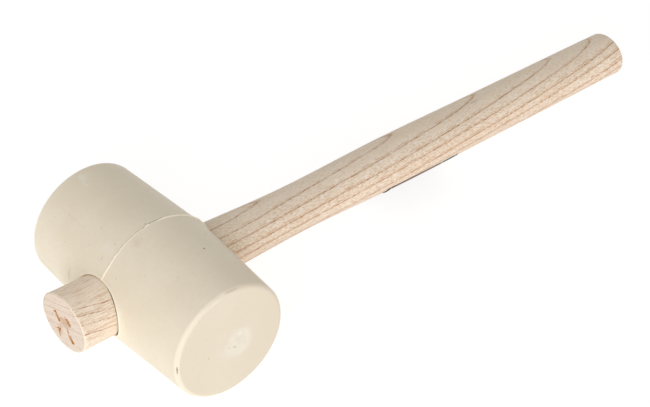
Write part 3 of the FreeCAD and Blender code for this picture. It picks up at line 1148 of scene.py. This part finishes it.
def wood_material():
    """Bare sanded ash: brown growth rings, open pores and flecks drawn out along the grain, soft clouding,
    with painted shade on the neck, underside and mouth, painted light on the top and nose and a painted
    highlight on the chamfer.
    """
    paint = Paint("bare_ash")
    nose = paint.step(paint.y, *NOSE_PLACES)
    level = ring_level(paint, nose)
    year = ring_year(paint, level)
    grain, pore, bead, fleck, patch, cloud = (paint.noise(*row) for row in WOOD_NOISES.values())
    fibre = paint.noise(*FIBRE_NOISE, place=paint.mapped((0, 0, 0), (1, 1, 1), (0, -RING_LEAN, 0)))
    ragged = paint.ragged(*WOOD_RAGGED)

    # Rings are fainter across the end grain, and only some of them are clear on the nose.
    end = paint.facing((0, 1, 0))
    end_share = paint.step(end, 0.6, 0.95)
    lowest, highest = NOSE_RINGS
    plain = paint.most(paint.step(level, lowest, lowest - 1.0), paint.step(level, highest, highest + 1.0))
    clear = paint.minus(1.0, paint.times(plain, nose, 0.88))
    clear = paint.times(clear, paint.step(end, 0.6, 0.95, 1.0, 0.58))

    # Lines are drawn narrower where the surface runs along the rings.
    along_rings = paint.facing(ACROSS_RINGS)
    cut = paint.math("MAXIMUM", paint.minus(1.0, paint.times(along_rings, along_rings)), 0.03)
    cut = paint.math("SQRT", cut)
    thin = paint.math("DIVIDE", year, cut)
    late = paint.most(paint.step(thin, 0.46, 0.04), paint.step(year, 0.88, 0.99, most=0.4))
    latest = paint.times(paint.step(thin, 0.30, 0.02), clear, paint.step(paint.y, *NOSE_PLACES, 0.34, 0.60))
    broken = paint.times(paint.step(bead, 0.42, 0.56, 0.14, 1.0), paint.step(patch, 0.4, 0.6, 0.6, 1.0))
    line = paint.most(paint.step(thin, 0.16, 0.02), paint.step(year, 0.955, 1.0))
    line = paint.times(line, broken, clear)
    second = paint.times(paint.near(thin, 0.30, 0.09, 0.02), paint.step(patch, 0.5, 0.62, most=0.4), clear)

    # Flecks are clearest where the rings are cut across, and absent from the end grain.
    chatter = paint.times(paint.step(cut, 0.45, 0.95, 0.5, 1.0), paint.step(end, 0.9, 0.5))
    chatter = paint.times(chatter, paint.step(paint.y, *NOSE_PLACES, 1.0, 0.6))
    streak = paint.times(paint.step(grain, 0.50, 0.60), nose, paint.step(paint.z, -8.0, 2.0, 0.25, 0.65))

    # Painted light in broad tones: the head's shadow on the neck, shade on the handle's underside and a
    # paler, greyer top.
    neck_shadow = paint.times(paint.step(paint.y, 58.0, 34.0), paint.step(paint.y, 0.0, 10.0))
    neck_shadow = paint.times(neck_shadow, paint.step(paint.z, -2.0, 6.0, most=0.45))
    under = paint.times(paint.step(paint.z, 3.0, -9.0, most=0.6), paint.step(paint.y, 38.0, 60.0))
    over = paint.times(paint.step(paint.z, 4.0, 11.0, most=0.35), paint.step(paint.y, 20.0, 40.0))

    base = paint.layers(
        paint.mix(paint.step(cloud, 0.35, 0.65), *WOOD_CLOUDS),
        (paint.step(patch, 0.42, 0.72, most=0.4), WOOD_PATCH),
        (paint.step(grain, 0.5, 0.75, most=0.4), WOOD_GRAIN[0]),
        (paint.step(grain, 0.45, 0.2, most=0.35), WOOD_GRAIN[1]),
        (paint.times(late, clear, 0.42), WOOD_LATE[0]),
        (latest, WOOD_LATE[1]),
        # painted shadow of the head on the neck
        (neck_shadow, WOOD_NECK_SHADOW),
        # painted shade on the underside
        (under, WOOD_UNDER_SHADE),
        # painted light on the upper side
        (over, WOOD_TOP_LIGHT),
        # paler at the nose: partly its own tone, partly painted light
        (paint.times(nose, 0.95), WOOD_NOSE),
        (streak, WOOD_STREAK),
        (paint.times(end_share, 0.8), WOOD_END),
        (paint.times(paint.step(fleck, 0.48, 0.35, most=0.70), chatter), WOOD_FLECKS[0]),
        (paint.times(paint.step(fleck, 0.52, 0.64, most=0.74), chatter), WOOD_FLECKS[1]),
        (paint.times(paint.step(fibre, 0.5, 0.7, most=0.55), end_share), WOOD_FIBRES[0]),
        (paint.times(paint.step(fibre, 0.48, 0.3, most=0.5), end_share), WOOD_FIBRES[1]),
        (paint.most(line, second), WOOD_LINE),
        (paint.times(paint.step(pore, 0.60, 0.72), paint.weigh(0.2, (late, 0.35))), WOOD_PORE),
        (drive_stains(paint, ragged), WOOD_STAIN),
        (paint.blot(SMUDGE, SMUDGE_RADII, (0, 0, 0), SMUDGE_STRENGTH, ragged), WOOD_SMUDGE),
        # painted highlight on the chamfer
        (chamfer_highlight(paint, end, nose), WOOD_CHAMFER_HIGHLIGHT),
        # painted shade at the head's mouth
        (mouth_shade(paint, ragged, nose), WOOD_MOUTH_SHADE),
    )
    height = paint.weigh(0.0, (grain, 0.5), (pore, -0.6), (fleck, 0.5), (line, -0.25))
    return paint.finish(base, paint.weigh(0.55, (grain, 0.16)), height, 0.12, IOR=1.45)


# The label: where its teal band begins, how far its border lines lie from its ends, and their half width.
LABEL_BAND_Y = 165.0
LABEL_BORDER = 1.6
LABEL_LINE = (0.45, 0.35)
LABEL_GROUND = (colour(88, 60, 44), colour(108, 80, 62))
LABEL_BAND = (colour(36, 74, 74), colour(50, 88, 86))
LABEL_PALE = colour(214, 204, 186)
LABEL_WORN = colour(140, 124, 108)
LABEL_SCRATCHED = colour(176, 164, 150)


def label_material():
    """A printed film: dark brown, with a teal band towards the grip, pale border lines and no lettering."""
    paint = Paint("printed_film")
    worn = paint.noise((3.0, 3.0, 3.0), detail=5.0, roughness=0.7)
    scratched = paint.step(paint.noise((0.25, 8.0, 0.25), detail=2.0, shift=5.0), 0.66, 0.76, most=0.4)
    ground = paint.mix(paint.noise(9.0, detail=3.0), *LABEL_GROUND)
    band = paint.mix(paint.noise(7.0, detail=2.0), *LABEL_BAND)
    places = (LABEL_START_Y + LABEL_BORDER, LABEL_BAND_Y, LABEL_END_Y - LABEL_BORDER)
    base = paint.layers(
        paint.mix(paint.step(paint.y, LABEL_BAND_Y - 0.1, LABEL_BAND_Y + 0.1), ground, band),
        *((paint.times(paint.near(paint.y, place, *LABEL_LINE), 0.8), LABEL_PALE) for place in places),
        (paint.step(worn, 0.58, 0.72, most=0.35), LABEL_WORN),
        (scratched, LABEL_SCRATCHED),
    )
    return paint.finish(base, paint.weigh(0.28, (worn, 0.25)), worn, 0.03, IOR=1.5)


def floor_material():
    """Plain pale studio paper, lit a little from within so that it stays white round the mallet."""
    paint = Paint("studio_paper")
    base = paint.mix(paint.noise(300.0, detail=1.0), colour(150, 150, 149), colour(155, 155, 155))
    glow = {"Emission_Color": (1.0, 1.0, 1.0, 1.0), "Emission_Strength": FLOOR_GLOW}
    return paint.finish(base, 0.9, paint.noise(1.5, detail=2.0), 0.02, **glow)


# ---- camera and lights
VIEW_AZIMUTH = math.radians(48.93)
VIEW_ELEVATION = math.radians(38.92)
VIEW_ROLL = math.radians(2.1)
VIEW_DISTANCE = 1.0394
AIM_RIGHT = 0.0771
AIM_UP = 0.0336
LENS = 126.6
SENSOR = 36.0

SKY_STRENGTH = 0.49
SKY_COLOUR = (1.0, 0.99, 0.965, 1.0)
LAMP_COLOUR = (0.99, 0.995, 1.02)
FLOOR_GLOW = 0.80
FLOOR_SIZE = 6.0

# The broad soft lights: place, size and power.
LAMPS = {
    "low_front": ((1.1, -1.7, 0.35), 0.6, 4.6),
    "high_front": ((1.2, -1.15, 1.3), 1.2, 13.0),
}


def add_camera():
    """The camera, placed in the mallet's frame about the middle of the head."""
    back = np.array([
        math.sin(VIEW_AZIMUTH) * math.cos(VIEW_ELEVATION),
        -math.cos(VIEW_AZIMUTH) * math.cos(VIEW_ELEVATION),
        math.sin(VIEW_ELEVATION),
    ])
    level = np.array([math.cos(VIEW_AZIMUTH), math.sin(VIEW_AZIMUTH), 0.0])
    upright = np.cross(back, level)
    right = math.cos(VIEW_ROLL) * level + math.sin(VIEW_ROLL) * upright
    up = math.cos(VIEW_ROLL) * upright - math.sin(VIEW_ROLL) * level
    place = AIM_RIGHT * right + AIM_UP * up + VIEW_DISTANCE * back
    data = bpy.data.cameras.new("view")
    data.lens = LENS
    data.sensor_width = SENSOR
    data.clip_end = 100.0
    camera = bpy.data.objects.new("view", data)
    turned = Matrix((AXES.T @ np.stack([right, up, back], 1)).tolist())
    camera.matrix_world = Matrix.Translation(HEAD_CENTRE + place @ AXES) @ turned.to_4x4()
    bpy.context.scene.collection.objects.link(camera)
    bpy.context.scene.camera = camera


def add_lights():
    """An even pale sky and two broad soft lights from the nose's side."""
    world = bpy.data.worlds.new("studio")
    world.use_nodes = True
    sky = world.node_tree.nodes["Background"]
    sky.inputs["Color"].default_value = SKY_COLOUR
    sky.inputs["Strength"].default_value = SKY_STRENGTH
    bpy.context.scene.world = world
    for name, (place, size, power) in LAMPS.items():
        data = bpy.data.lights.new(name, "AREA")
        data.shape = "DISK"
        data.size = size
        data.energy = power
        data.color = LAMP_COLOUR
        lamp = bpy.data.objects.new(name, data)
        lamp.location = place
        towards = Vector(HEAD_CENTRE) - Vector(place)
        lamp.rotation_euler = towards.to_track_quat("-Z", "Y").to_euler()
        bpy.context.scene.collection.objects.link(lamp)


def add_floor():
    """The surface that the mallet lies on."""
    half = FLOOR_SIZE / 2
    corners = [(-half, -half, 0), (half, -half, 0), (half, half, 0), (-half, half, 0)]
    mesh = bpy.data.meshes.new("studio_floor")
    mesh.from_pydata(corners, [], [(0, 1, 2, 3)])
    mesh.materials.append(floor_material())
    floor = bpy.data.objects.new("studio_floor", mesh)
    bpy.context.scene.collection.objects.link(floor)


def set_colours():
    """Shows colours as they are, without a film look."""
    view = bpy.context.scene.view_settings
    view.view_transform = "Standard"
    view.look = "None"


make_head(rubber_material())
make_handle(wood_material())
make_label(label_material())
add_floor()
add_lights()
add_camera()
set_colours()
